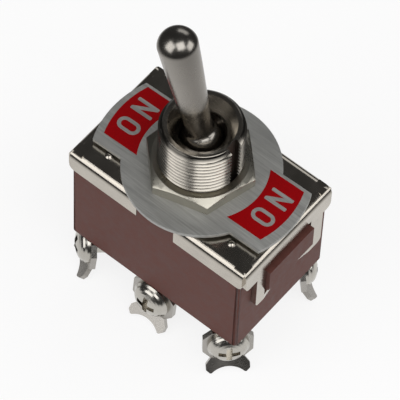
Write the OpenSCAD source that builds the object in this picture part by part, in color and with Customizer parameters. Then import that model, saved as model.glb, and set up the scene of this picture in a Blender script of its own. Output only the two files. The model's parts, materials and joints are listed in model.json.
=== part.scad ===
// Panel toggle switch: two poles, two positions, bat lever, screw terminals.
// +Z is the bushing axis towards the lever tip, X is the way the lever swings,
// and Z = 0 is the top face of the steel cover. Millimetres.

/* [Cover] */
// Outer length of the steel cover, along X
cover_l = 30.8; // [28:0.1:38]
// Outer width of the steel cover, along Y
cover_w = 19.0; // [17:0.1:24]
// Thickness of the cover's sheet
sheet_t = 0.8; // [0.5:0.05:1]
// Outer radius of the cover's bends
bend_r = 1.2; // [1:0.1:1.6]
// Depth of the skirts on the long sides, from the top face
side_skirt_h = 3.6; // [2.5:0.1:5]
// Depth of the short skirts beside the end tabs
end_skirt_h = 4.2; // [3:0.1:5]
// Width of the end tabs that hold the housing
tab_w = 14; // [12:0.1:15]
// Depth of the end tabs, from the top face
tab_h = 11.1; // [9:0.1:14]
// Width of the window in an end tab
window_w = 9.6; // [7:0.1:10]

/* [Housing] */
// Depth of the moulded housing below the cover's top face
housing_h = 19.1; // [17:0.1:26]
// Thickness of the housing's side walls
wall_t = 1.8; // [1.4:0.1:2.2]
// Thickness of the housing's floor
floor_t = 3.5; // [2.5:0.1:4.5]
// Radius of the housing's upright corners
corner_r = 0.6; // [0.3:0.1:1.5]

/* [Bushing] */
// Outer diameter of the mounting thread
thread_d = 11.8; // [11:0.1:12.6]
// Pitch of the mounting thread
thread_pitch = 0.75; // [0.5:0.25:1]
// Height of the bushing above the cover
bushing_h = 11.1; // [9:0.1:14]
// Width of the keyway
keyway_w = 1.9; // [1.2:0.1:2.4]
// Depth of the keyway
keyway_depth = 1.05; // [0.6:0.05:1.2]
// Distance between opposite flats of the hex nut
nut_af = 13.8; // [13.5:0.1:17]
// Thickness of the hex nut
nut_t = 2.1; // [1.6:0.1:3]
// Thickness of the toothed lock washer
washer_t = 0.5; // [0.3:0.05:0.8]

/* [Indicator plate] */
// Thickness of the indicator plate
plate_t = 0.55; // [0.4:0.05:1]
// Radius of the plate's round middle
plate_r = 10.9; // [10:0.1:12]
// Radius of the ends of the plate's two lobes
lobe_r = 15.2; // [14:0.1:17]
// Width of each lobe
lobe_w = 11.6; // [9:0.1:14]

/* [Lever] */
// Angle of the lever from the bushing axis, at either end of its travel
lever_angle = 14.9; // [12:0.1:15.5]
// Length of the lever from the centre of its ball to its tip
lever_l = 20.6; // [16:0.1:26]
// Largest diameter of the lever, near its tip
bat_d = 5.5; // [4.8:0.1:5.8]
// Diameter of the lever's neck above the ball
neck_d = 3.9; // [3.4:0.1:4.2]
// Diameter of the lever's ball
ball_d = 5.7; // [5.2:0.1:6]

/* [Terminals] */
// Thickness of the terminal strip
strip_t = 0.8; // [0.6:0.05:1]
// Width of a terminal's screw plate
plate_w = 7; // [6:0.1:7.6]
// Depth of the prong tips below the housing
terminal_h = 8.2; // [7:0.1:10]
// Distance between the prongs' outer edges
prong_span = 6.1; // [5:0.1:6.6]
// Diameter of a terminal screw's head
screw_head_d = 5.8; // [5:0.1:6.4]
// Diameter of a terminal screw's shank
screw_d = 3; // [2.5:0.1:3.4]

/* [Contacts] */
// Distance from the switch's middle to each pole, along Y
pole_y = 4.6; // [4.4:0.1:5]
// Distance from the middle to the fixed contacts, along X
contact_x = 8.8; // [8.4:0.1:9.4]
// Tilt of the rocker at either end of its travel
rocker_angle = 8; // [7:0.1:8.5]
// Width of the rocker strip
rocker_w = 3; // [2.4:0.1:3.4]

/* [Hidden] */
$fn = 64;
fit = 0.05;                            // gap between pieces that touch
eps = 0.01;

// housing and insulator, sized by what the cover holds
housing_l = cover_l - 2*sheet_t - 2*fit;
housing_w = cover_w - 0.1;
insulator_t = 0.4;
housing_top = -sheet_t - insulator_t;
floor_z = -housing_h + floor_t;
step_w = cover_w - 2*sheet_t - 2*fit;  // width of the housing between the side skirts
chamber_l = housing_l - 2*wall_t;
chamber_w = step_w - 2*wall_t + 1;
notch_w = 6.4;                         // centre notch of a side skirt
window_top = 3.2;                      // window in an end tab, measured down from the top
window_bottom = tab_h - 1;
tab_shift = 0.4;                       // the tabs sit this far off the middle, towards +Y
bar_bow = 0.45;                        // the bar under a window is pressed in by this much
bar_bend_r = (window_w*window_w/4 + bar_bow*bar_bow)/(2*bar_bow);
lug_out = 1.5;                         // how far the snap lugs stand out of the end walls
lug_depth = 4.2;                       // upright part of a lug's face
skirt_gap = 0.45;                      // open corner between two skirts

// bushing bore
pivot_z = 7.5;                         // centre of the lever's ball
thread_r = thread_d/2;
engaged_r = thread_r - 0.32*thread_pitch;   // where the nut's thread and the bushing's meet
ball_r = ball_d/2;
bore_r = ball_r + 0.35;                // bore around the ball
lip_z = pivot_z + 1.8;
flare_top = pivot_z - 2.5;
mouth_r = thread_r - 1.3;
top_chamfer = 0.65;
pivot_pin_r = 0.7;                     // pin through the ball, along Y
pivot_pin_l = 2*(thread_r - 1.25);
flange_r = chamber_w/2 - 0.15;
flange_t = 1.2;
flange_bottom = -sheet_t - flange_t;
flare_r = 5.2;

// pieces stacked on the bushing
plate_z = washer_t;
nut_z = plate_z + plate_t;
nut_top = nut_z + nut_t;
nut_gap = 0.15;                        // full thread starts this far above the nut
nut_turn = 15.5;
plate_hole_r = thread_r + 0.3;
plate_shift = [0.3, -0.1];             // the plate sits a little askew
plate_turn = 1.4;
washer_r = 8.6;
washer_teeth = 10;

// lever and what it carries, along the lever's own axis from the ball's centre
stem_r = 1.6;
carrier_top = -11;
carrier_bottom = -16.2;
carrier_x = 5.2;
plunger_r = 1.45;
plunger_tip_r = 1.4;
plunger_tip = -18.4;
carrier_w = 2*(pole_y + plunger_r + 0.55);
socket_r = plunger_r + fit;
socket_top = -12.2;
plunger_top = -14.2;
plunger_bore_r = 0.95;
plunger_bore_bottom = -16.7;
carrier_pin_r = 0.6;
carrier_pin_s = -12.6;
stem_end = -14;

// rocker: the plunger's tip runs in a valley that is an arc about a point above the pivot
rocker_pivot_z = -12;
rocker_t = 0.8;
reach = -plunger_tip - plunger_tip_r;  // ball of the plunger tip, from the lever's pivot
drop = pivot_z - rocker_pivot_z;
end_x = reach*sin(lever_angle)*cos(rocker_angle)
      - (drop - reach*cos(lever_angle))*sin(rocker_angle);
end_w = reach*sin(lever_angle)*sin(rocker_angle)
      + (drop - reach*cos(lever_angle))*cos(rocker_angle);
mid_w = drop - reach;
valley_w = (end_x*end_x + end_w*end_w - mid_w*mid_w)/(2*(end_w - mid_w));
valley_r = valley_w - mid_w + plunger_tip_r + fit;
shoulder_x = 5.5;
arm_x = 6.9;
arm_end = contact_x + 1.3;
arm_top = 0.6;
trunnion_r = 0.6;
ear_t = 0.7;
ear_gap = 0.15;
dome_r = 3;                            // face of a moving contact
moving_r = 1.4;
moving_h = 0.7;
fixed_r = 1.6;
pad_t = 0.7;
moving_w = arm_top - rocker_t - moving_h + dome_r;   // centre of the dome, in the rocker
moving_x = contact_x - 0.2;
contact_z = rocker_pivot_z + moving_w*cos(rocker_angle) - moving_x*sin(rocker_angle)
          - dome_r - fit;

// terminals, from the middle of the switch outwards
neck_w = 3.2;                          // part of the strip that passes the floor
plate_out = 14.1;                      // outward face of a corner terminal's strip, less half a strip
plate_y = 8.7;                         // the same for a middle terminal
corner_side = 3;                       // corner terminal's offset across its own direction
plate_lean = 5;                        // outward lean of the screw plates
shoulder_cut = 1.3;
waist_w = 4.4;
prong_bend = 38;
prong_l = 2.4;
tail_gap = 0.3;                        // from the housing's underside to the screw plate
plate_h = (terminal_h - tail_gap - prong_l*cos(prong_bend + plate_lean)
         - 0.5*strip_t*sin(prong_bend + plate_lean))/cos(plate_lean);
screw_drop = 2.7;
screw_l = 3;
head_h = 1.9;
rim_h = 0.45;

// ---- helpers ----

// box centred in X and Y, from z0 up to z1
module slab(x, y, z0, z1) {
    translate([-x/2, -y/2, z0]) cube([x, y, z1 - z0]);
}

// the same with upright rounded corners
module rounded_slab(x, y, z0, z1, r) {
    translate([0, 0, z0]) linear_extrude(z1 - z0) {
        square([x - 2*r, y], center = true);
        square([x, y - 2*r], center = true);
        for (sx = [-1, 1], sy = [-1, 1]) translate([sx*(x/2 - r), sy*(y/2 - r)]) circle(r);
    }
}

// a piece and its mirror image at the other end
module both_ends() {
    children();
    mirror([1, 0, 0]) children();
}

module both_sides() {
    children();
    mirror([0, 1, 0]) children();
}

// what is drawn along the lever's own axis, put at its rest angle
module on_lever() {
    translate([0, 0, pivot_z]) rotate([0, -lever_angle, 0]) children();
}

// what is drawn in a rocker's own frame, put at its rest tilt
module on_rocker() {
    translate([0, 0, rocker_pivot_z]) rotate([0, rocker_angle, 0]) children();
}

function arc(cx, cy, r, a0, a1, n) =
    [for (i = [0:n]) let (a = a0 + (a1 - a0)*i/n) [cx + r*cos(a), cy + r*sin(a)]];

// ---- cover ----

// one bent edge and skirt along X, on the +Y side: straight length and depth
module skirt(length, depth, half) {
    rotate([90, 0, 90]) translate([0, 0, -length/2]) linear_extrude(length)
        polygon(concat(
            [[half - bend_r - 1, -sheet_t], [half - bend_r - 1, 0]],
            arc(half - bend_r, -bend_r, bend_r, 90, 0, 12),
            [[half, -depth], [half - sheet_t, -depth]],
            arc(half - bend_r, -bend_r, bend_r - sheet_t, 0, 90, 8)));
}

// rounds the two lower corners of a skirt that faces +Y
module skirt_corners(length, depth, half, r) {
    for (s = [-1, 1]) translate([s*(length/2 - r), 0, -depth + r]) rotate([-90, 0, 0])
        difference() {
            translate([s > 0 ? 0 : -r - eps, 0, half - sheet_t - 1])
                cube([r + eps, r + eps, sheet_t + 2]);
            translate([0, 0, half - sheet_t - 2]) cylinder(r = r, h = sheet_t + 4);
        }
}

module cover_dimple() {
    translate([10.6, -6.3, -0.45]) intersection() {
        sphere(r = 0.75);
        slab(2, 2, 0.2, 1);
    }
}

// upright cylinder about the centre of the bend in the bar under a window
module bar_cylinder(r, z0, z1) {
    translate([cover_l/2 - bar_bow + bar_bend_r, 0, z0]) cylinder(r = r, h = z1 - z0, $fn = 256);
}

module end_tab() {
    half = tab_w/2;
    tip_r = 0.8;
    difference() {
        translate([cover_l/2 - sheet_t, tab_shift, 0]) rotate([90, 0, 90]) linear_extrude(sheet_t)
            polygon(concat([[half, -end_skirt_h + 1], [-half, -end_skirt_h + 1]],
                arc(-half + tip_r, -tab_h + tip_r, tip_r, 180, 270, 6),
                arc(half - tip_r, -tab_h + tip_r, tip_r, 270, 360, 6)));
        translate([cover_l/2, 0, 0]) slab(4, window_w, -tab_h - 1, -window_top);
    }
    intersection() {
        difference() {
            bar_cylinder(bar_bend_r + sheet_t, -tab_h, -window_bottom);
            bar_cylinder(bar_bend_r, -tab_h - 1, 0);
        }
        translate([cover_l/2 - 2, 0, 0]) slab(4, window_w + 0.2, -tab_h, 0);
    }
}

module cover() {
    color("silver") difference() {
        union() {
            slab(cover_l - 2*bend_r, cover_w - 2*bend_r, -sheet_t, 0);
            both_sides() difference() {
                skirt(cover_l - 2*skirt_gap, side_skirt_h, cover_w/2);
                skirt_corners(cover_l - 2*skirt_gap, side_skirt_h, cover_w/2, 0.9);
                translate([0, cover_w/2, 0]) slab(notch_w, 4, -side_skirt_h - 1, -bend_r);
            }
            both_ends() {
                difference() {
                    rotate([0, 0, -90]) skirt(cover_w - 2*skirt_gap, end_skirt_h, cover_l/2);
                    rotate([0, 0, -90])
                        skirt_corners(cover_w - 2*skirt_gap, end_skirt_h, cover_l/2, 0.9);
                    translate([cover_l/2, 0, 0]) slab(4, window_w, -tab_h, -window_top);
                }
                end_tab();
                cover_dimple();
            }
        }
        translate([0, 0, -5]) cylinder(r = engaged_r + fit, h = 10);
    }
}

// ---- housing ----

// snap lug that fills the window of an end tab: flat on top, sloping back below
module lug() {
    top = window_top + 0.85;
    foot = window_bottom - 0.1;
    lug_w = window_w - 0.2;
    translate([0, lug_w/2, 0]) rotate([90, 0, 0]) linear_extrude(lug_w)
        polygon([[housing_l/2 - 0.5, -top], [housing_l/2 + lug_out, -top],
                 [housing_l/2 + lug_out, -top - lug_depth], [housing_l/2, -foot],
                 [housing_l/2 - 0.5, -foot]]);
}

// a terminal's way through the floor: strip slot, and the pocket for its inner pad
module floor_slot(out, pad_in) {
    translate([-neck_w/2 - fit, out - strip_t/2 - fit, -housing_h - 1])
        cube([neck_w + 2*fit, strip_t + 2*fit, floor_t + 1 + pad_t + fit]);
    translate([-neck_w/2 - fit, pad_in, floor_z])
        cube([neck_w + 2*fit, out + strip_t/2 + fit - pad_in, pad_t + fit]);
}

module housing() {
    color([0.38, 0.26, 0.23]) difference() {
        union() {
            difference() {
                rounded_slab(housing_l, housing_w, -housing_h, housing_top, corner_r);
                both_sides() translate([-cover_l/2, step_w/2, -side_skirt_h - fit])
                    cube([cover_l, 4, side_skirt_h + 1]);
            }
            both_sides() translate([0, step_w/2 - 1, 0])
                translate([-notch_w/2 + fit, 0, -side_skirt_h - 1])
                    cube([notch_w - 2*fit, housing_w/2 - step_w/2 + 1,
                          side_skirt_h + 1 - max(bend_r + fit, -housing_top)]);
            both_ends() lug();
        }
        difference() {
            rounded_slab(chamber_l, chamber_w, floor_z, 1, 0.8);
            slab(chamber_l + 1, 1.6, floor_z - 1, -10.2);
        }
        both_ends() intersection() {
            bar_cylinder(bar_bend_r + sheet_t + fit, -tab_h - fit, fit - window_bottom);
            slab(2*cover_l, window_w + 0.3, -tab_h - 1, 0);
        }
        both_ends() both_sides() at_corner() floor_slot(plate_out, 8);
        both_sides() floor_slot(plate_y, 2);
    }
}

module insulator() {
    color("dimgray") difference() {
        slab(cover_l - 2*bend_r - 0.1, cover_w - 2*bend_r - 0.1, housing_top, -sheet_t);
        translate([0, 0, -5]) cylinder(r = flange_r + 0.1, h = 10);
    }
}

// ---- bushing and what is stacked on it ----

module bushing() {
    color("gainsboro") difference() {
        rotate_extrude() polygon(
            [[flare_r, flange_bottom], [flange_r, flange_bottom], [flange_r, -sheet_t],
             [engaged_r, -sheet_t], [engaged_r, nut_top + nut_gap], [thread_r, nut_top + nut_gap],
             [thread_r, bushing_h - top_chamfer],
             [thread_r - top_chamfer, bushing_h], [mouth_r, bushing_h], [bore_r, lip_z],
             [bore_r, flare_top]]);
        translate([thread_r - keyway_depth, -keyway_w/2, washer_t])
            cube([4, keyway_w, bushing_h]);
        hull() for (z = [flange_bottom - 1, pivot_z]) translate([0, 0, z]) rotate([90, 0, 0])
            cylinder(r = pivot_pin_r + fit, h = pivot_pin_l + 0.2, center = true);
    }
}

module lock_washer() {
    bore_r = thread_r + fit;
    color("silver") difference() {
        cylinder(r = washer_r, h = washer_t);
        translate([0, 0, -1]) cylinder(r = bore_r, h = 3);
        for (i = [0:washer_teeth - 1]) rotate([0, 0, (i + 0.5)*360/washer_teeth])
            translate([bore_r - 0.5, -0.55, -1]) cube([1.6, 1.1, 3]);
    }
}

module indicator_plate() {
    color("lightgray") translate([plate_shift.x, plate_shift.y, plate_z])
        rotate([0, 0, plate_turn]) difference() {
            union() {
                cylinder(r = plate_r, h = plate_t);
                intersection() {
                    cylinder(r = lobe_r, h = plate_t);
                    slab(4*lobe_r, lobe_w, -1, 2);
                }
            }
            difference() {
                translate([0, 0, -1]) cylinder(r = plate_hole_r, h = 3);
                translate([thread_r - keyway_depth + 0.2, -keyway_w/2 + 0.2, -1])
                    cube([2, keyway_w - 0.4, 3]);
            }
        }
}

module hex_nut() {
    corner = nut_af/2/cos(30);
    chamfer = corner - nut_af/2 + 0.25;
    color("silver") difference() {
        intersection() {
            translate([0, 0, nut_z]) rotate([0, 0, nut_turn]) cylinder(r = corner, h = nut_t, $fn = 6);
            rotate_extrude() polygon([[0, nut_z], [corner, nut_z], [corner, nut_top - 0.5*chamfer],
                                      [corner - chamfer, nut_top], [0, nut_top]]);
        }
        translate([0, 0, -1]) cylinder(r = engaged_r + 0.02, h = 10);
    }
}

// ---- lever and what it carries ----

module lever() {
    dome_h = 2.2;
    edge = lever_l - dome_h;
    bat_r = bat_d/2;
    neck_r = neck_d/2;
    dome_r = (bat_r*bat_r + dome_h*dome_h)/(2*dome_h);
    color("gainsboro") on_lever() difference() {
        rotate_extrude() polygon(concat(
            [[0, stem_end], [stem_r - 0.3, stem_end], [stem_r, stem_end + 0.3],
             [stem_r, -sqrt(ball_r*ball_r - stem_r*stem_r)]],
            arc(0, 0, ball_r, -acos(stem_r/ball_r), acos(neck_r/ball_r), 24),
            [[neck_r - 0.05, 4], [neck_r - 0.02, 6.1], [neck_r + 0.16, 6.9], [bat_r - 0.33, 12.3],
             [bat_r - 0.06, edge - 1.6], [bat_r, edge]],
            arc(0, lever_l - dome_r, dome_r, asin((dome_r - dome_h)/dome_r), 90, 12)));
        translate([0, 0, carrier_pin_s]) rotate([0, 90, 0])
            cylinder(r = carrier_pin_r + 0.02, h = 10, center = true);
        rotate([90, 0, 0]) cylinder(r = pivot_pin_r + 0.02, h = 10, center = true);
    }
}

// the pin that the lever turns on: its ends run in two slots of the bushing's bore
module pivot_pin() {
    color("silver") on_lever() rotate([90, 0, 0])
        cylinder(r = pivot_pin_r, h = pivot_pin_l, center = true);
}

module plunger_carrier() {
    color("ivory") on_lever() difference() {
        translate([0, 0, carrier_bottom]) linear_extrude(carrier_top - carrier_bottom)
            difference() {
                square([carrier_x, carrier_w], center = true);
                for (s = [-1, 1]) translate([s*(carrier_x/2 + 0.5), 0]) circle(1.2);
            }
        translate([0, 0, stem_end - fit]) cylinder(r = stem_r + 0.02, h = 4);
        both_sides() translate([0, pole_y, carrier_bottom - 1])
            cylinder(r = socket_r, h = socket_top - carrier_bottom + 1);
        translate([0, 0, carrier_pin_s]) rotate([0, 90, 0])
            cylinder(r = carrier_pin_r + 0.02, h = 10, center = true);
    }
}

module carrier_pin() {
    color("silver") on_lever() translate([0, 0, carrier_pin_s]) rotate([0, 90, 0])
        cylinder(r = carrier_pin_r, h = carrier_x - 1.6, center = true);
}

module plunger() {
    color("white") on_lever() translate([0, pole_y, 0]) difference() {
        union() {
            translate([0, 0, plunger_tip + plunger_tip_r]) sphere(r = plunger_tip_r);
            translate([0, 0, plunger_tip + plunger_tip_r])
                cylinder(r = plunger_r, h = plunger_top - plunger_tip - plunger_tip_r);
        }
        translate([0, 0, plunger_bore_bottom]) cylinder(r = plunger_bore_r, h = 10);
    }
}

module plunger_front() { mirror([0, 1, 0]) plunger(); }
module plunger_back() { plunger(); }

// round wire wound into a coil from z = 0 to z = length
module coil_spring(r, wire_r, length, turns) {
    sides = 8;
    per_turn = 14;
    n = turns*per_turn;
    pitch = (length - 2*wire_r)/turns;
    lean = atan(pitch/(2*PI*r));
    points = [for (i = [0:n], j = [0:sides - 1])
        let (a = 360*i/per_turn, b = 360*j/sides, u = wire_r*cos(b), v = wire_r*sin(b))
        [(r + u)*cos(a) + v*sin(lean)*sin(a), (r + u)*sin(a) - v*sin(lean)*cos(a),
         wire_r + pitch*i/per_turn + v*cos(lean)]];
    walls = [for (i = [0:n - 1], j = [0:sides - 1])
        let (k = (j + 1)%sides)
        [i*sides + j, i*sides + k, (i + 1)*sides + k, (i + 1)*sides + j]];
    first = [for (j = [sides - 1:-1:0]) j];
    last = [for (j = [0:sides - 1]) n*sides + j];
    polyhedron(points, concat(walls, [first, last]), convexity = 10);
}

module plunger_spring() {
    color("gray") on_lever() translate([0, pole_y, plunger_bore_bottom + 0.02])
        coil_spring(0.7, 0.16, socket_top - plunger_bore_bottom - 0.04, 6);
}

module plunger_spring_front() { mirror([0, 1, 0]) plunger_spring(); }
module plunger_spring_back() { plunger_spring(); }

// ---- rockers and contacts ----

// one side of the rocker's outline, from the middle to the tip: upper face, then lower face
function rocker_half() = concat(
    [for (x = [0:0.5:shoulder_x]) [x, valley_w - sqrt(valley_r*valley_r - x*x)]],
    [[shoulder_x + 0.4, shoulder_w() + 0.1], [arm_x, arm_top], [arm_end, arm_top],
     [arm_end, arm_top - rocker_t], [arm_x - 0.5, arm_top - rocker_t],
     [shoulder_x - 0.3, shoulder_w() - rocker_t - 0.1]],
    [for (x = [shoulder_x - 1:-0.5:0]) [x, valley_w - sqrt(pow(valley_r + rocker_t, 2) - x*x)]]);
function shoulder_w() = valley_w - sqrt(valley_r*valley_r - shoulder_x*shoulder_x);

module rocker() {
    color("goldenrod") translate([0, pole_y, 0]) on_rocker() {
        both_ends() translate([0, rocker_w/2, 0]) rotate([90, 0, 0])
            linear_extrude(rocker_w) polygon(rocker_half());
        rotate([90, 0, 0])
            cylinder(r = trunnion_r, h = rocker_w + 2*(ear_t + ear_gap), center = true);
    }
}

module rocker_front() { mirror([0, 1, 0]) rocker(); }
module rocker_back() { rocker(); }

module moving_contacts() {
    color("whitesmoke") translate([0, pole_y, 0]) on_rocker() both_ends()
        translate([moving_x, 0, 0]) intersection() {
            translate([0, 0, moving_w]) sphere(r = dome_r);
            translate([0, 0, arm_top - rocker_t - moving_h]) cylinder(r = moving_r, h = moving_h);
        }
}

module rocker_contacts_front() { mirror([0, 1, 0]) moving_contacts(); }
module rocker_contacts_back() { moving_contacts(); }

module fixed_contacts() {
    color("whitesmoke") both_ends() both_sides()
        translate([contact_x, pole_y, floor_z + pad_t])
            cylinder(r = fixed_r, h = contact_z - floor_z - pad_t);
}

// ---- terminals ----

// puts a terminal drawn along +Y at the corner (+X, +Y), facing diagonally outwards
module at_corner() {
    rotate([0, 0, -45]) translate([corner_side, 0, 0]) children();
}

// outline of the screw plate, hanging from z = 0: shoulders, lower corners and waist
module screw_plate_outline() {
    polygon([[-plate_w/2 + shoulder_cut, 0], [-plate_w/2, -shoulder_cut],
             [-plate_w/2, -plate_h + 1.7], [-waist_w/2, -plate_h], [waist_w/2, -plate_h],
             [plate_w/2, -plate_h + 1.7], [plate_w/2, -shoulder_cut],
             [plate_w/2 - shoulder_cut, 0]]);
}

// the two prongs, hanging from z = 0, with a round hollow between their tips
module prong_outline() {
    half = prong_span/2;
    hollow_r = 3.4;
    difference() {
        polygon([[-waist_w/2, eps], [-half, -1.1], [-half, -prong_l + 0.5], [-half + 0.5, -prong_l],
                 [half - 0.5, -prong_l], [half, -prong_l + 0.5], [half, -1.1], [waist_w/2, eps]]);
        translate([0, -prong_l - hollow_r + 0.9]) circle(hollow_r);
    }
}

// the part outside the housing, with its strip's middle on y = 0 and its top at z = 0
module terminal_tail() {
    rotate([plate_lean, 0, 0]) {
        difference() {
            rotate([90, 0, 0]) translate([0, 0, -strip_t/2]) linear_extrude(strip_t)
                screw_plate_outline();
            translate([0, 0, -screw_drop]) rotate([90, 0, 0])
                cylinder(r = screw_d/2 + 0.02, h = 4, center = true);
        }
        translate([0, 0, -plate_h]) rotate([prong_bend, 0, 0])
            rotate([90, 0, 0]) translate([0, 0, -strip_t/2]) linear_extrude(strip_t)
                prong_outline();
        translate([0, 0, -plate_h]) rotate([0, 90, 0])
            cylinder(r = strip_t/2, h = waist_w, center = true);
    }
}

// strip through the floor, with its outward direction along +Y
module terminal_neck(out) {
    translate([-neck_w/2, out - strip_t/2, -housing_h - tail_gap])
        cube([neck_w, strip_t, floor_t + pad_t + tail_gap]);
}

module corner_terminal() {
    pad_in = contact_out() - fixed_r - 0.2;
    color("silver") at_corner() {
        terminal_neck(plate_out);
        translate([-neck_w/2, pad_in, floor_z])
            cube([neck_w, plate_out + strip_t/2 - pad_in, pad_t]);
        translate([0, plate_out, -housing_h - tail_gap]) terminal_tail();
    }
}
// distance of a fixed contact from the middle, along a corner terminal's direction
function contact_out() = (contact_x + pole_y)*sin(45);

module common_terminal() {
    ear_y = rocker_w/2 + ear_gap;
    ear_top = rocker_pivot_z + 0.5;
    ear_w = 3;
    color("silver") difference() {
        union() {
            terminal_neck(plate_y);
            translate([-neck_w/2, pole_y - ear_y - ear_t, floor_z])
                cube([neck_w, plate_y + strip_t/2 - pole_y + ear_y + ear_t, pad_t]);
            for (s = [-1, 1]) translate([0, pole_y + s*(ear_y + ear_t/2), 0])
                slab(ear_w, ear_t, floor_z, ear_top);
            translate([0, plate_y, -housing_h - tail_gap]) terminal_tail();
        }
        for (s = [-1, 1]) translate([0, pole_y + s*(ear_y + ear_t/2), rocker_pivot_z]) {
            rotate([90, 0, 0]) cylinder(r = trunnion_r + fit, h = ear_t + 0.2, center = true);
            slab(2*(trunnion_r + fit), ear_t + 0.2, 0, 3);
        }
    }
}

module common_terminal_front() { mirror([0, 1, 0]) common_terminal(); }
module common_terminal_back() { common_terminal(); }
module right_terminal_back() { corner_terminal(); }
module right_terminal_front() { mirror([0, 1, 0]) corner_terminal(); }
module left_terminal_back() { mirror([1, 0, 0]) corner_terminal(); }
module left_terminal_front() { mirror([1, 0, 0]) mirror([0, 1, 0]) corner_terminal(); }

// screw through a plate whose middle is on y = 0, head outwards along +Y
module terminal_screw() {
    dome = screw_head_d/2;
    rotate([plate_lean, 0, 0]) translate([0, strip_t/2 + eps, -screw_drop]) rotate([-90, 0, 0]) {
        translate([0, 0, -strip_t - screw_l]) cylinder(r = screw_d/2, h = screw_l + strip_t);
        difference() {
            rotate_extrude() polygon(concat([[0, 0], [dome, 0], [dome, rim_h]],
                [for (i = [1:8]) [dome*0.93*cos(i*90/8), rim_h + (head_h - rim_h)*sin(i*90/8)]]));
            for (turn = [0, 90]) rotate([0, 0, turn])
                translate([-1.5, -0.4, head_h - 1.1]) cube([3, 0.8, 2]);
        }
    }
}

module terminal_screws() {
    color("silver") {
        both_ends() both_sides() at_corner() translate([0, plate_out, -housing_h - tail_gap]) terminal_screw();
        both_sides() translate([0, plate_y, -housing_h - tail_gap]) terminal_screw();
    }
}

housing();
insulator();
cover();
bushing();
lock_washer();
indicator_plate();
hex_nut();
lever();
pivot_pin();
plunger_carrier();
carrier_pin();
plunger_front();
plunger_back();
plunger_spring_front();
plunger_spring_back();
rocker_front();
rocker_back();
rocker_contacts_front();
rocker_contacts_back();
fixed_contacts();
common_terminal_front();
common_terminal_back();
left_terminal_front();
left_terminal_back();
right_terminal_front();
right_terminal_back();
terminal_screws();
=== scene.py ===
import json
import math

import bmesh
import bpy
from mathutils import Matrix, Vector


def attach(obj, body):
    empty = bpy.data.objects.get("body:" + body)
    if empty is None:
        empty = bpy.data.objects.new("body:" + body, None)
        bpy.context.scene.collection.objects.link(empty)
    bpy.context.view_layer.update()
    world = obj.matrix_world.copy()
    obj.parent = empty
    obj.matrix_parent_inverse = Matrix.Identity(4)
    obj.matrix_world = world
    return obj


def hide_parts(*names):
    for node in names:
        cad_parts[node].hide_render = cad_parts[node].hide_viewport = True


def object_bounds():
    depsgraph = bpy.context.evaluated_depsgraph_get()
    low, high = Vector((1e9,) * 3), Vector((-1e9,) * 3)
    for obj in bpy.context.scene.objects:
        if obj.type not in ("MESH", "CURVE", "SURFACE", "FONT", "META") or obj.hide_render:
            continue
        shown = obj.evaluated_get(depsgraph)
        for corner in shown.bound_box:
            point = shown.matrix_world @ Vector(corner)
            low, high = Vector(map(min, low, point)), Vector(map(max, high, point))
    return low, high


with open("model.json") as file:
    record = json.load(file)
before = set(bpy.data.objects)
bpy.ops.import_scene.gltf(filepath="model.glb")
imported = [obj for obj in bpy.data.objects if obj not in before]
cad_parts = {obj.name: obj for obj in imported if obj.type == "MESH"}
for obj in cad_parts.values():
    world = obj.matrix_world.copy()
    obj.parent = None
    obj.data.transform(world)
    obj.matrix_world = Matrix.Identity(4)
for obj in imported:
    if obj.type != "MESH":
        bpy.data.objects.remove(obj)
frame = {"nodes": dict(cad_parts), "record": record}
cad_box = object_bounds()

MM = 0.001
NODES = frame["nodes"]

# the part's own sizes, in millimetres, as the CAD has them
THREAD_R = 5.9
THREAD_PITCH = 0.75
THREAD_DEPTH = 0.46
TOP_CHAMFER = 0.65
BUSHING_TOP = 11.1
KEYWAY_W = 1.9
KEYWAY_DEPTH = 1.05
PLATE_TOP = 1.05
BORE_R = 3.2
PIN_SLOT = (0.75, 4.75)     # half width of the slots for the lever's pin, and how far out they go
PIVOT_Z = 7.5
LEVER_ANGLE = 14.9
LEVER_L = 20.6
BAT_R = 2.75
BALL_R = 2.85
NECK_R = 1.95
STEM_R = 1.6
DOME_H = 2.2


# ---- camera ----

def place_camera():
    """The photograph's viewpoint, in the part's own frame."""
    azimuth, elevation, roll = (math.radians(a) for a in (36.936, 58.187, 2.98))
    back = Vector((math.sin(azimuth) * math.cos(elevation),
                   -math.cos(azimuth) * math.cos(elevation), math.sin(elevation)))
    right = Vector((math.cos(azimuth), math.sin(azimuth), 0))
    up = back.cross(right)
    turn = Matrix((right, up, back)).transposed() @ Matrix.Rotation(roll, 3, "Z")
    data = bpy.data.cameras.new("camera")
    data.sensor_width = 36
    data.lens = 341.012
    camera = bpy.data.objects.new("camera", data)
    camera.matrix_world = Matrix.Translation(
        turn @ Vector((-0.051, -4.204, 506.867)) * MM) @ turn.to_4x4()
    data.clip_start, data.clip_end = 0.01, 20
    bpy.context.scene.collection.objects.link(camera)
    bpy.context.scene.camera = camera


# ---- materials ----

def rgb(r, g, b):
    """An sRGB colour given from 0 to 255, as the linear colour that nodes use."""
    def linear(v):
        v /= 255
        return v / 12.92 if v <= 0.04045 else ((v + 0.055) / 1.055) ** 2.4
    return (linear(r), linear(g), linear(b), 1)


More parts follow.
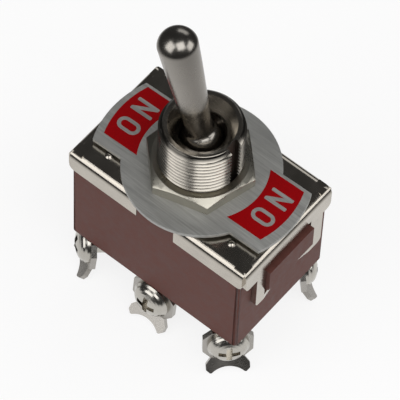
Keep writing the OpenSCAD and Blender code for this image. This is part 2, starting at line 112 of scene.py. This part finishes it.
class Shader:
    """A Principled material, and short ways to add the nodes that these looks use."""

    def __init__(self, name, **values):
        self.material = bpy.data.materials.new(name)
        self.material.use_nodes = True
        self.tree = self.material.node_tree
        self.bsdf = self.tree.nodes["Principled BSDF"]
        self.point = self.add("ShaderNodeTexCoord").outputs["Object"]
        for socket, value in values.items():
            self.bsdf.inputs[socket.replace("_", " ")].default_value = value

    def add(self, kind, **values):
        node = self.tree.nodes.new(kind)
        for key, value in values.items():
            if key in node.inputs:
                self.put(node.inputs[key], value)
            else:
                setattr(node, key, value)
        return node

    def put(self, socket, value):
        if isinstance(value, bpy.types.NodeSocket):
            self.tree.links.new(value, socket)
        else:
            socket.default_value = value

    def noise(self, scale, stretch=(1, 1, 1), turn=0, detail=3, roughness=0.55):
        """Noise with `scale` features per millimetre, drawn out along an axis by `stretch`."""
        place = self.add("ShaderNodeMapping", Vector=self.point)
        place.inputs["Rotation"].default_value = (0, 0, turn)
        place.inputs["Scale"].default_value = [s / MM for s in stretch]
        return self.add("ShaderNodeTexNoise", Vector=place.outputs[0], Scale=scale, Detail=detail,
                        Roughness=roughness).outputs["Fac"]

    def spread(self, value, low, high, to_low=0, to_high=1):
        node = self.add("ShaderNodeMapRange", Value=value)
        for key, number in (("From Min", low), ("From Max", high),
                            ("To Min", to_low), ("To Max", to_high)):
            node.inputs[key].default_value = number
        return node.outputs[0]

    def mix(self, factor, a, b, blend="MIX"):
        node = self.add("ShaderNodeMix", data_type="RGBA", blend_type=blend)
        self.put(node.inputs[0], factor)
        self.put(node.inputs[6], a)
        self.put(node.inputs[7], b)
        return node.outputs[2]

    def math(self, operation, a, b=0.0):
        node = self.add("ShaderNodeMath", operation=operation)
        self.put(node.inputs[0], a)
        self.put(node.inputs[1], b)
        return node.outputs[0]

    def bump(self, height, distance, strength=1.0, normal=None):
        """Bump from a 0 to 1 height, where 1 stands `distance` millimetres proud."""
        node = self.add("ShaderNodeBump", Height=height)
        node.inputs["Strength"].default_value = strength
        node.inputs["Distance"].default_value = distance * MM
        if normal:
            self.put(node.inputs["Normal"], normal)
        self.put(self.bsdf.inputs["Normal"], node.outputs[0])
        return node.outputs[0]

    def colour(self, value):
        self.put(self.bsdf.inputs["Base Color"], value)

    def rough(self, value):
        self.put(self.bsdf.inputs["Roughness"], value)


def nickel(name, tint, rough, grain=0.4, waves=0.0, stain=0.12):
    """Nickel plate: a clean mirror with a faint grain, slow waves and a little stain."""
    s = Shader(name, Metallic=1.0)
    cloud = s.noise(0.35, detail=4)
    fine = s.noise(9, detail=2)
    dark = [c * (1 - stain) for c in tint[:3]] + [1]
    s.colour(s.mix(s.spread(cloud, 0.35, 0.7), dark, tint))
    s.rough(s.spread(s.math("ADD", cloud, s.math("MULTIPLY", fine, 0.5)), 0.5, 1.05,
                     rough * 0.75, rough * 1.3))
    bump = s.bump(fine, 0.004 * grain)
    if waves:
        s.bump(s.noise(0.22, detail=1), waves, normal=bump)
    return s.material


def turned(name, tint, rough):
    """Plated metal with the fine rings of a lathe tool, and painted shade darkening the thread's
    roots.
    """
    s = Shader(name, Metallic=1.0)
    rings = s.noise(14, stretch=(0.06, 0.06, 1), detail=2)
    cloud = s.noise(0.5)
    clean = s.mix(s.spread(cloud, 0.35, 0.7), [c * 0.86 for c in tint[:3]] + [1], tint)
    flat = s.add("ShaderNodeVectorMath", operation="MULTIPLY")
    s.put(flat.inputs[0], s.point)
    flat.inputs[1].default_value = (1, 1, 0)
    length = s.add("ShaderNodeVectorMath", operation="LENGTH")
    s.put(length.inputs[0], flat.outputs[0])
    radius = length.outputs["Value"]
    # painted shade: the plating is darkened to a fifth in a band of radius around the thread's
    # roots; 'clean' is the colour outside this shade
    thread_root_shade = s.math("MULTIPLY", s.spread(radius, 5.24 * MM, 5.34 * MM),
                       s.spread(radius, 5.52 * MM, 5.82 * MM, 1, 0))
    s.colour(s.mix(thread_root_shade, clean, [c * 0.22 for c in tint[:3]] + [1]))
    s.rough(s.spread(rings, 0.3, 0.7, rough * 0.75, rough * 1.25))
    s.bump(rings, 0.003)
    return s.material


def brushed(name, tint, rough, turn):
    """Aluminium sheet brushed in one direction, `turn` from X."""
    s = Shader(name, Metallic=0.8)
    broad = s.noise(1.1, stretch=(0.05, 1, 1), turn=-turn, detail=4, roughness=0.7)
    fine = s.noise(5.5, stretch=(0.03, 1, 1), turn=-turn, detail=4, roughness=0.75)
    both = s.math("ADD", s.math("MULTIPLY", broad, 0.35), s.math("MULTIPLY", fine, 0.65))
    s.colour(s.mix(s.spread(both, 0.35, 0.65), [c * 0.62 for c in tint[:3]] + [1], tint))
    s.rough(s.spread(fine, 0.35, 0.65, rough * 0.85, rough * 1.15))
    s.bump(both, 0.012)
    return s.material


def phenolic(name, tint):
    """Moulded phenolic: dense, slightly mottled and half glossy."""
    s = Shader(name, Specular_IOR_Level=0.32)
    mottle = s.noise(0.9, detail=5, roughness=0.6)
    speck = s.noise(7, detail=2)
    dark = [c * 0.8 for c in tint[:3]] + [1]
    base = s.mix(s.spread(mottle, 0.3, 0.7), dark, tint)
    s.colour(s.mix(s.spread(speck, 0.66, 0.76), base, [c * 1.5 for c in tint[:3]] + [1]))
    s.rough(s.spread(mottle, 0.3, 0.7, 0.5, 0.64))
    s.bump(s.noise(3.2, detail=3), 0.01)
    return s.material


def plain(name, tint, rough, metal=0.0):
    """A matt or metallic finish with a soft mottle, for the small and inner pieces."""
    s = Shader(name, Metallic=metal)
    cloud = s.noise(3.0, detail=3)
    s.colour(s.mix(s.spread(cloud, 0.3, 0.7), [c * 0.82 for c in tint[:3]] + [1], tint))
    s.rough(s.spread(cloud, 0.3, 0.7, rough * 0.85, rough * 1.15))
    s.bump(cloud, 0.006)
    return s.material


def enamel(name, tint):
    """Flat printing ink with a slightly uneven coat."""
    s = Shader(name, Specular_IOR_Level=0.08, Roughness=0.5)
    cloud = s.noise(2.0, detail=3)
    s.colour(s.mix(s.spread(cloud, 0.3, 0.7), [c * 0.9 for c in tint[:3]] + [1], tint))
    s.bump(cloud, 0.002)
    return s.material


def make_materials():
    m = {
        "cover_steel": nickel("cover_steel", rgb(200, 193, 182), 0.17, grain=1.4, waves=0.05),
        "bushing_plating": turned("bushing_plating", rgb(186, 180, 170), 0.2),
        # a dark metal used as painted shade in the bushing's keyway, pin slots and bore
        "slot_shade": plain("slot_shade", rgb(92, 84, 76), 0.6, metal=1),
        "nut_plating": nickel("nut_plating", rgb(186, 182, 170), 0.3, grain=0.8),
        "lever_plating": nickel("lever_plating", rgb(168, 163, 156), 0.24, grain=0.3),
        "terminal_plating": nickel("terminal_plating", rgb(182, 178, 172), 0.28, grain=1.2),
        "screw_plating": nickel("screw_plating", rgb(200, 196, 188), 0.2, grain=0.8),
        "plate_aluminium": brushed("plate_aluminium", rgb(214, 214, 210), 0.58,
                                   math.radians(100)),
        "phenolic": phenolic("phenolic", rgb(104, 62, 54)),
        "fibre": plain("fibre", rgb(88, 88, 92), 0.8),
        "nylon": plain("nylon", rgb(226, 222, 208), 0.5),
        "spring_steel": plain("spring_steel", rgb(120, 118, 116), 0.45, metal=1),
        "rocker_copper": plain("rocker_copper", rgb(214, 150, 104), 0.3, metal=1),
        "silver_contact": plain("silver_contact", rgb(226, 224, 220), 0.28, metal=1),
        "print_red": enamel("print_red", rgb(150, 0, 6)),
    }
    for part in frame["record"]["subparts"]:
        slots = NODES[part["node"]].data.materials
        slots.clear()
        slots.append(m[part["material_slot"]])
    return m


# ---- pieces ----

def add_object(name, mesh, material, body="base"):
    """A piece with the given material, riding on `body`."""
    obj = bpy.data.objects.new(name, mesh)
    bpy.context.scene.collection.objects.link(obj)
    mesh.materials.clear()
    mesh.materials.append(material)
    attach(obj, body)
    return obj


def grid_mesh(name, rings, close_top=False, close_bottom=False):
    """A mesh from rings of equal length, each closed on itself."""
    bm = bmesh.new()
    rows = [[bm.verts.new([c * MM for c in p]) for p in ring] for ring in rings]
    n = len(rings[0])
    for a, b in zip(rows, rows[1:]):
        for i in range(n):
            bm.faces.new((a[i], a[(i + 1) % n], b[(i + 1) % n], b[i]))
    if close_bottom:
        bm.faces.new(list(reversed(rows[0])))
    if close_top:
        bm.faces.new(rows[-1])
    bmesh.ops.remove_doubles(bm, verts=bm.verts, dist=1e-7)
    bmesh.ops.recalc_face_normals(bm, faces=bm.faces)
    for f in bm.faces:
        f.smooth = True
    mesh = bpy.data.meshes.new(name)
    bm.to_mesh(mesh)
    bm.free()
    return mesh


def revolve(profile, count=96):
    """Rings of points about Z for a profile of (radius, z)."""
    turns = [2 * math.pi * i / count for i in range(count)]
    return [[(r * math.cos(t), r * math.sin(t), z) for t in turns] for r, z in profile]


def arc(cx, cz, r, a0, a1, n):
    return [(cx + r * math.cos(a), cz + r * math.sin(a))
            for a in (math.radians(a0 + (a1 - a0) * i / n) for i in range(n + 1))]


def applied(obj):
    """The object's mesh with its modifiers applied, the modifiers then removed."""
    graph = bpy.context.evaluated_depsgraph_get()
    mesh = bpy.data.meshes.new_from_object(obj.evaluated_get(graph))
    obj.modifiers.clear()
    obj.data = mesh
    return mesh


def boolean(obj, cutter_mesh):
    """Cuts the closed mesh out of obj."""
    tool = bpy.data.objects.new("tool", cutter_mesh)
    bpy.context.scene.collection.objects.link(tool)
    mod = obj.modifiers.new("cut", "BOOLEAN")
    mod.object = tool
    mod.solver = "EXACT"
    applied(obj)
    bpy.data.objects.remove(tool)


def box_mesh(name, low, high):
    bm = bmesh.new()
    bmesh.ops.create_cube(bm, size=1)
    for v in bm.verts:
        v.co = Vector([(a + b) / 2 + c * (b - a) for a, b, c in zip(low, high, v.co)]) * MM
    mesh = bpy.data.meshes.new(name)
    bm.to_mesh(mesh)
    bm.free()
    return mesh


# phases of one pitch where the thread's surface turns, with the depth below the crest there
THREAD_ROWS = ((0, 0), (0.0625, 0), (0.15, 0.247), (0.24, 0.5), (0.33, 0.754), (0.417, 1), (0.5, 1),
               (0.583, 1), (0.67, 0.754), (0.76, 0.5), (0.85, 0.247), (0.9375, 0), (1, 0))


def thread_r(phase):
    for (p, a), (q, b) in zip(THREAD_ROWS, THREAD_ROWS[1:]):
        if phase <= q:
            return THREAD_R - THREAD_DEPTH * (a + (b - a) * (phase - p) / (q - p))
    return THREAD_R


def thread_rings(low, high, count):
    """Rings that follow a right-hand helix, cut off flat at low and high and by the top chamfer."""
    rings = []
    for turn in range(math.floor(low / THREAD_PITCH) - 1, math.ceil(high / THREAD_PITCH) + 1):
        for phase, _ in THREAD_ROWS[:-1]:
            ring = []
            for j in range(count):
                t = 2 * math.pi * j / count
                z = min(high, max(low, (turn + phase + j / count) * THREAD_PITCH))
                r = min(thread_r((z / THREAD_PITCH - j / count) % 1.0),
                        THREAD_R - 0.02 - (z - BUSHING_TOP + TOP_CHAMFER))
                ring.append((r * math.cos(t), r * math.sin(t), z))
            rings.append(ring)
    return rings


def build_bushing(m):
    """The threaded bushing, with a real helix, cut by the keyway and the lever pin's two slots."""
    count = 144
    thread_low, thread_high = -0.8, BUSHING_TOP - 0.12
    foot = [(7.1, -1.99), (7.2, -1.9), (7.2, -0.9), (7.1, -0.82)]
    crown = [(5.3, BUSHING_TOP - 0.04), (5.22, BUSHING_TOP), (4.76, BUSHING_TOP),
             (4.68, BUSHING_TOP - 0.03), (4.6, BUSHING_TOP - 0.12), (4.2, 10.6), (3.75, 10.03),
             (3.42, 9.62), (3.27, 9.38), (3.21, 9.2), (BORE_R, 9.0), (BORE_R, 7.2),
             (BORE_R, 5.0), (5.2, -1.99)]
    rings = revolve(foot, count) + thread_rings(thread_low, thread_high, count)
    rings += revolve(crown, count)
    bm = bmesh.new()
    rows = [[bm.verts.new([c * MM for c in p]) for p in ring] for ring in rings]
    rows.append(rows[0])
    for a, b in zip(rows, rows[1:]):
        for i in range(count):
            k = (i + 1) % count
            bm.faces.new((a[i], a[k], b[k], b[i]))
    bmesh.ops.remove_doubles(bm, verts=bm.verts, dist=2e-7)
    bmesh.ops.dissolve_degenerate(bm, edges=bm.edges, dist=1e-7)
    bmesh.ops.recalc_face_normals(bm, faces=bm.faces)
    mesh = bpy.data.meshes.new("bushing_body")
    bm.to_mesh(mesh)
    bm.free()
    obj = add_object("bushing_body", mesh, m["bushing_plating"])
    boolean(obj, box_mesh("keyway", (THREAD_R - KEYWAY_DEPTH, -KEYWAY_W / 2, 0.5),
                          (9, KEYWAY_W / 2, 14)))
    half, out = PIN_SLOT
    for near, far in ((-out, 0.3 - BORE_R), (BORE_R - 0.3, out)):
        boolean(obj, box_mesh("pin_slot", (-half, near, -3), (half, far, PIVOT_Z)))
    # The keyway's faces, the pin slots and the bore below the ball take the dark second material:
    # painted shade in these recesses.
    obj.data.materials.clear()
    obj.data.materials.append(m["bushing_plating"])
    obj.data.materials.append(m["slot_shade"])
    for f in obj.data.polygons:
        x, y, z = f.center / MM
        in_keyway = abs(y) < KEYWAY_W / 2 + 0.002 and x > 4.8 and z < BUSHING_TOP - 0.01
        f.material_index = int(in_keyway or math.hypot(x, y) < 4.8 and z < 8.6)
    split_edges(obj, 26)
    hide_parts("bushing")


def split_edges(obj, angle):
    """Keeps edges sharper than `angle` degrees crisp, and shades the rest smooth."""
    mod = obj.modifiers.new("crisp", "EDGE_SPLIT")
    mod.split_angle = math.radians(angle)
    for f in obj.data.polygons:
        f.use_smooth = True


def build_lever(m):
    """The bat lever as one smooth turned and polished form, with its ball."""
    edge = LEVER_L - DOME_H
    dome_r = (BAT_R ** 2 + DOME_H ** 2) / (2 * DOME_H)
    neck = math.degrees(math.acos(NECK_R / BALL_R))
    ball = arc(0, 0, BALL_R, -55.85, neck - 3, 28)
    profile = [(0.0005, -14.0), (STEM_R - 0.3, -14.0), (STEM_R, -13.7), (STEM_R, -2.37)] + ball
    profile += [(1.99, 2.2), (1.94, 2.45), (1.905, 3.2), (1.9, 4), (1.91, 5), (1.95, 5.8),
                (2.03, 6.35), (2.1, 6.75), (2.14, 7.3), (2.28, 9.7), (2.45, 12.3),
                (2.58, 14.5), (2.69, 16.8), (BAT_R - 0.015, 17.9), (BAT_R, edge - 0.12)]
    start = math.degrees(math.asin((dome_r - DOME_H) / dome_r))
    profile += [(BAT_R - 0.03, edge + 0.06)] + arc(0, LEVER_L - dome_r, dome_r, start + 4, 89.9, 16)
    mesh = grid_mesh("lever_body", revolve(profile, 96), close_top=True, close_bottom=True)
    lean = Matrix.Translation((0, 0, PIVOT_Z * MM)) @ Matrix.Rotation(
        math.radians(-LEVER_ANGLE), 4, "Y")
    mesh.transform(lean)
    obj = add_object("lever_body", mesh, m["lever_plating"], "lever")
    split_edges(obj, 40)
    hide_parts("lever")


# ---- the plate's print ----

def capsule(length, width, turn, cx, cy, n=6):
    """A stroke with round ends, as a closed outline."""
    points = []
    for end in (0, 1):
        for i in range(n + 1):
            a = math.pi * i / n - math.pi / 2 + math.pi * end
            points.append(((length / 2) * (1 - 2 * end) + width / 2 * math.cos(a),
                           width / 2 * math.sin(a)))
    c, s = math.cos(turn), math.sin(turn)
    return [(cx + x * c - y * s, cy + x * s + y * c) for x, y in points]


def letter_n(cx, cy, height, width, stroke):
    """N as one closed outline: two uprights and the diagonal between them, ends rounded off."""
    h, w, s, b = height / 2, width / 2, stroke, 0.12
    step = s * 1.18
    turned_half = [(-w, -h + b), (-w + b, -h), (-w + s - b, -h), (-w + s, -h + b),
                   (-w + s, h - 2.2 * step + 0.1), (w - s, -h + b), (w - s + b, -h),
                   (w - b, -h), (w, -h + b)]
    return [(cx + side * x, cy + side * y) for side in (1, -1) for x, y in turned_half]


def letter_o(cx, cy, height, width, stroke):
    outer = capsule(height - width, width, math.pi / 2, cx, cy, 10)
    inner = capsule(height - width, width - 2 * stroke, math.pi / 2, cx, cy, 8)
    return outer, inner


def field_outline(side):
    """The red field on one lobe: straight ends, and an inner and an outer arc."""
    inner_r, outer_r, half = 9.0, 14.1, 4.75

    def along(r, sign):
        a = math.asin(half / r)
        steps = [a * (2 * i / 24 - 1) * sign for i in range(25)]
        return [(side * r * math.cos(t), r * math.sin(t)) for t in steps]
    return along(outer_r, 1) + along(inner_r, -1)


def build_print(m, name, side):
    """A printed field with ON left bare, as a thin film on the plate."""
    turn, shift = math.radians(1.3), (0.1, 0.5)
    bare_n = letter_n(0, 0, 3.5, 2.2, 0.56)
    outer, inner = letter_o(0, 0, 3.5, 2.15, 0.55)

    def on_plate(points, x, y, quarter):
        """Letters stand with their tops towards -X and read along +Y."""
        out = []
        for px, py in points:
            if quarter:
                px, py = -py, px
            px, py = px + x, py + y
            out.append((px * math.cos(turn) - py * math.sin(turn) + shift[0],
                        px * math.sin(turn) + py * math.cos(turn) + shift[1]))
        return out

    middle = side * 11.4
    outlines = [on_plate(field_outline(side), 0, 0, False),
                on_plate(outer, middle, -1.75, True), on_plate(inner, middle, -1.75, True),
                on_plate(bare_n, middle, 1.75, True)]
    curve = bpy.data.curves.new(name, "CURVE")
    curve.dimensions = "2D"
    curve.fill_mode = "BOTH"
    curve.extrude = 0.006 * MM
    for points in outlines:
        spline = curve.splines.new("POLY")
        spline.points.add(len(points) - 1)
        for p, (x, y) in zip(spline.points, points):
            p.co = (x * MM, y * MM, 0, 1)
        spline.use_cyclic_u = True
    drawn = bpy.data.objects.new(name + "_drawn", curve)
    bpy.context.scene.collection.objects.link(drawn)
    mesh = bpy.data.meshes.new_from_object(
        drawn.evaluated_get(bpy.context.evaluated_depsgraph_get()))
    bpy.data.objects.remove(drawn)
    mesh.transform(Matrix.Translation((0, 0, (PLATE_TOP + 0.008) * MM)))
    return add_object(name, mesh, m["print_red"])


# ---- finish of the CAD nodes ----

def soften(node, width, segments=2, angle=35):
    """A small bevel on the node's sharp edges, with the shading kept clean."""
    obj = NODES[node]
    weld = obj.modifiers.new("weld", "WELD")
    weld.merge_threshold = 1e-6
    bevel = obj.modifiers.new("bevel", "BEVEL")
    bevel.width = width * MM
    bevel.segments = segments
    bevel.limit_method = "ANGLE"
    bevel.angle_limit = math.radians(angle)
    bevel.use_clamp_overlap = True
    bevel.harden_normals = False


def finish_nodes():
    for node in ("cover", "indicator_plate", "hex_nut", "lock_washer"):
        soften(node, 0.06)
    soften("housing", 0.15)


# ---- stage ----

def build_stage():
    floor_z = cad_box[0][2] - 0.00002
    bpy.ops.mesh.primitive_plane_add(size=8, location=(0, 0, floor_z))
    floor = bpy.context.object
    floor.name = "floor"
    s = Shader("floor", Roughness=0.9, Base_Color=(0.9, 0.9, 0.9, 1))
    tree = s.tree
    path = s.add("ShaderNodeLightPath")
    length = s.add("ShaderNodeVectorMath", operation="LENGTH")
    s.put(length.inputs[0], s.point)
    far = s.spread(length.outputs["Value"], 0.03, 0.13)
    dim = s.mix(far, (1, 1, 1, 1), (0.06, 0.06, 0.06, 1))
    card = s.add("ShaderNodeEmission", Color=dim)
    card.inputs["Strength"].default_value = 0.85
    white = s.add("ShaderNodeEmission")
    white.inputs["Strength"].default_value = 1.05
    seen = s.add("ShaderNodeMixShader", Fac=0.78)
    s.put(seen.inputs[1], s.bsdf.outputs[0])
    s.put(seen.inputs[2], white.outputs[0])
    by_camera = s.add("ShaderNodeMixShader", Fac=path.outputs["Is Camera Ray"])
    s.put(by_camera.inputs[1], s.bsdf.outputs[0])
    s.put(by_camera.inputs[2], seen.outputs[0])
    by_gloss = s.add("ShaderNodeMixShader", Fac=path.outputs["Is Glossy Ray"])
    s.put(by_gloss.inputs[1], by_camera.outputs[0])
    s.put(by_gloss.inputs[2], card.outputs[0])
    s.put(tree.nodes["Material Output"].inputs["Surface"], by_gloss.outputs[0])
    floor.data.materials.append(s.material)

    world = bpy.data.worlds.new("studio")
    bpy.context.scene.world = world
    world.use_nodes = True
    tree = world.node_tree
    out = tree.nodes["World Output"]
    path = tree.nodes.new("ShaderNodeLightPath")
    white = tree.nodes.new("ShaderNodeBackground")
    white.inputs[0].default_value = (1, 1, 1, 1)
    room = tree.nodes.new("ShaderNodeBackground")
    room.inputs[0].default_value = (0.30, 0.30, 0.30, 1)
    dark = tree.nodes.new("ShaderNodeBackground")
    dark.inputs[0].default_value = (0.045, 0.045, 0.045, 1)
    gloss = tree.nodes.new("ShaderNodeMixShader")
    tree.links.new(path.outputs["Is Glossy Ray"], gloss.inputs[0])
    tree.links.new(room.outputs[0], gloss.inputs[1])
    tree.links.new(dark.outputs[0], gloss.inputs[2])
    cam = tree.nodes.new("ShaderNodeMixShader")
    tree.links.new(path.outputs["Is Camera Ray"], cam.inputs[0])
    tree.links.new(gloss.outputs[0], cam.inputs[1])
    tree.links.new(white.outputs[0], cam.inputs[2])
    tree.links.new(cam.outputs[0], out.inputs[0])


def softbox(name, azimuth, elevation, size, radiance, distance=0.6):
    """A square soft light; azimuth 0 is in front (-Y) and 90 is at +X."""
    a, e = math.radians(azimuth), math.radians(elevation)
    way = Vector((math.sin(a) * math.cos(e), -math.cos(a) * math.cos(e), math.sin(e)))
    data = bpy.data.lights.new(name, "AREA")
    data.shape = "RECTANGLE"
    data.size, data.size_y = size
    data.energy = radiance * math.pi * size[0] * size[1]
    light = bpy.data.objects.new(name, data)
    light.rotation_mode = "QUATERNION"
    light.location = way * distance
    light.rotation_quaternion = way.to_track_quat("Z", "Y")
    bpy.context.scene.collection.objects.link(light)


def build_lights():
    softbox("front_left", -20, 36, (0.46, 0.50), 1.7)
    softbox("overhead", 62, 58, (0.44, 0.42), 2.0)
    softbox("right", 120, 24, (0.40, 0.34), 1.6)
    softbox("back", 200, 30, (0.40, 0.25), 0.8)


bpy.context.scene.view_settings.view_transform = "Standard"
place_camera()
materials = make_materials()
build_bushing(materials)
build_lever(materials)
build_print(materials, "print_right", 1)
build_print(materials, "print_left", -1)
finish_nodes()
build_stage()
build_lights()
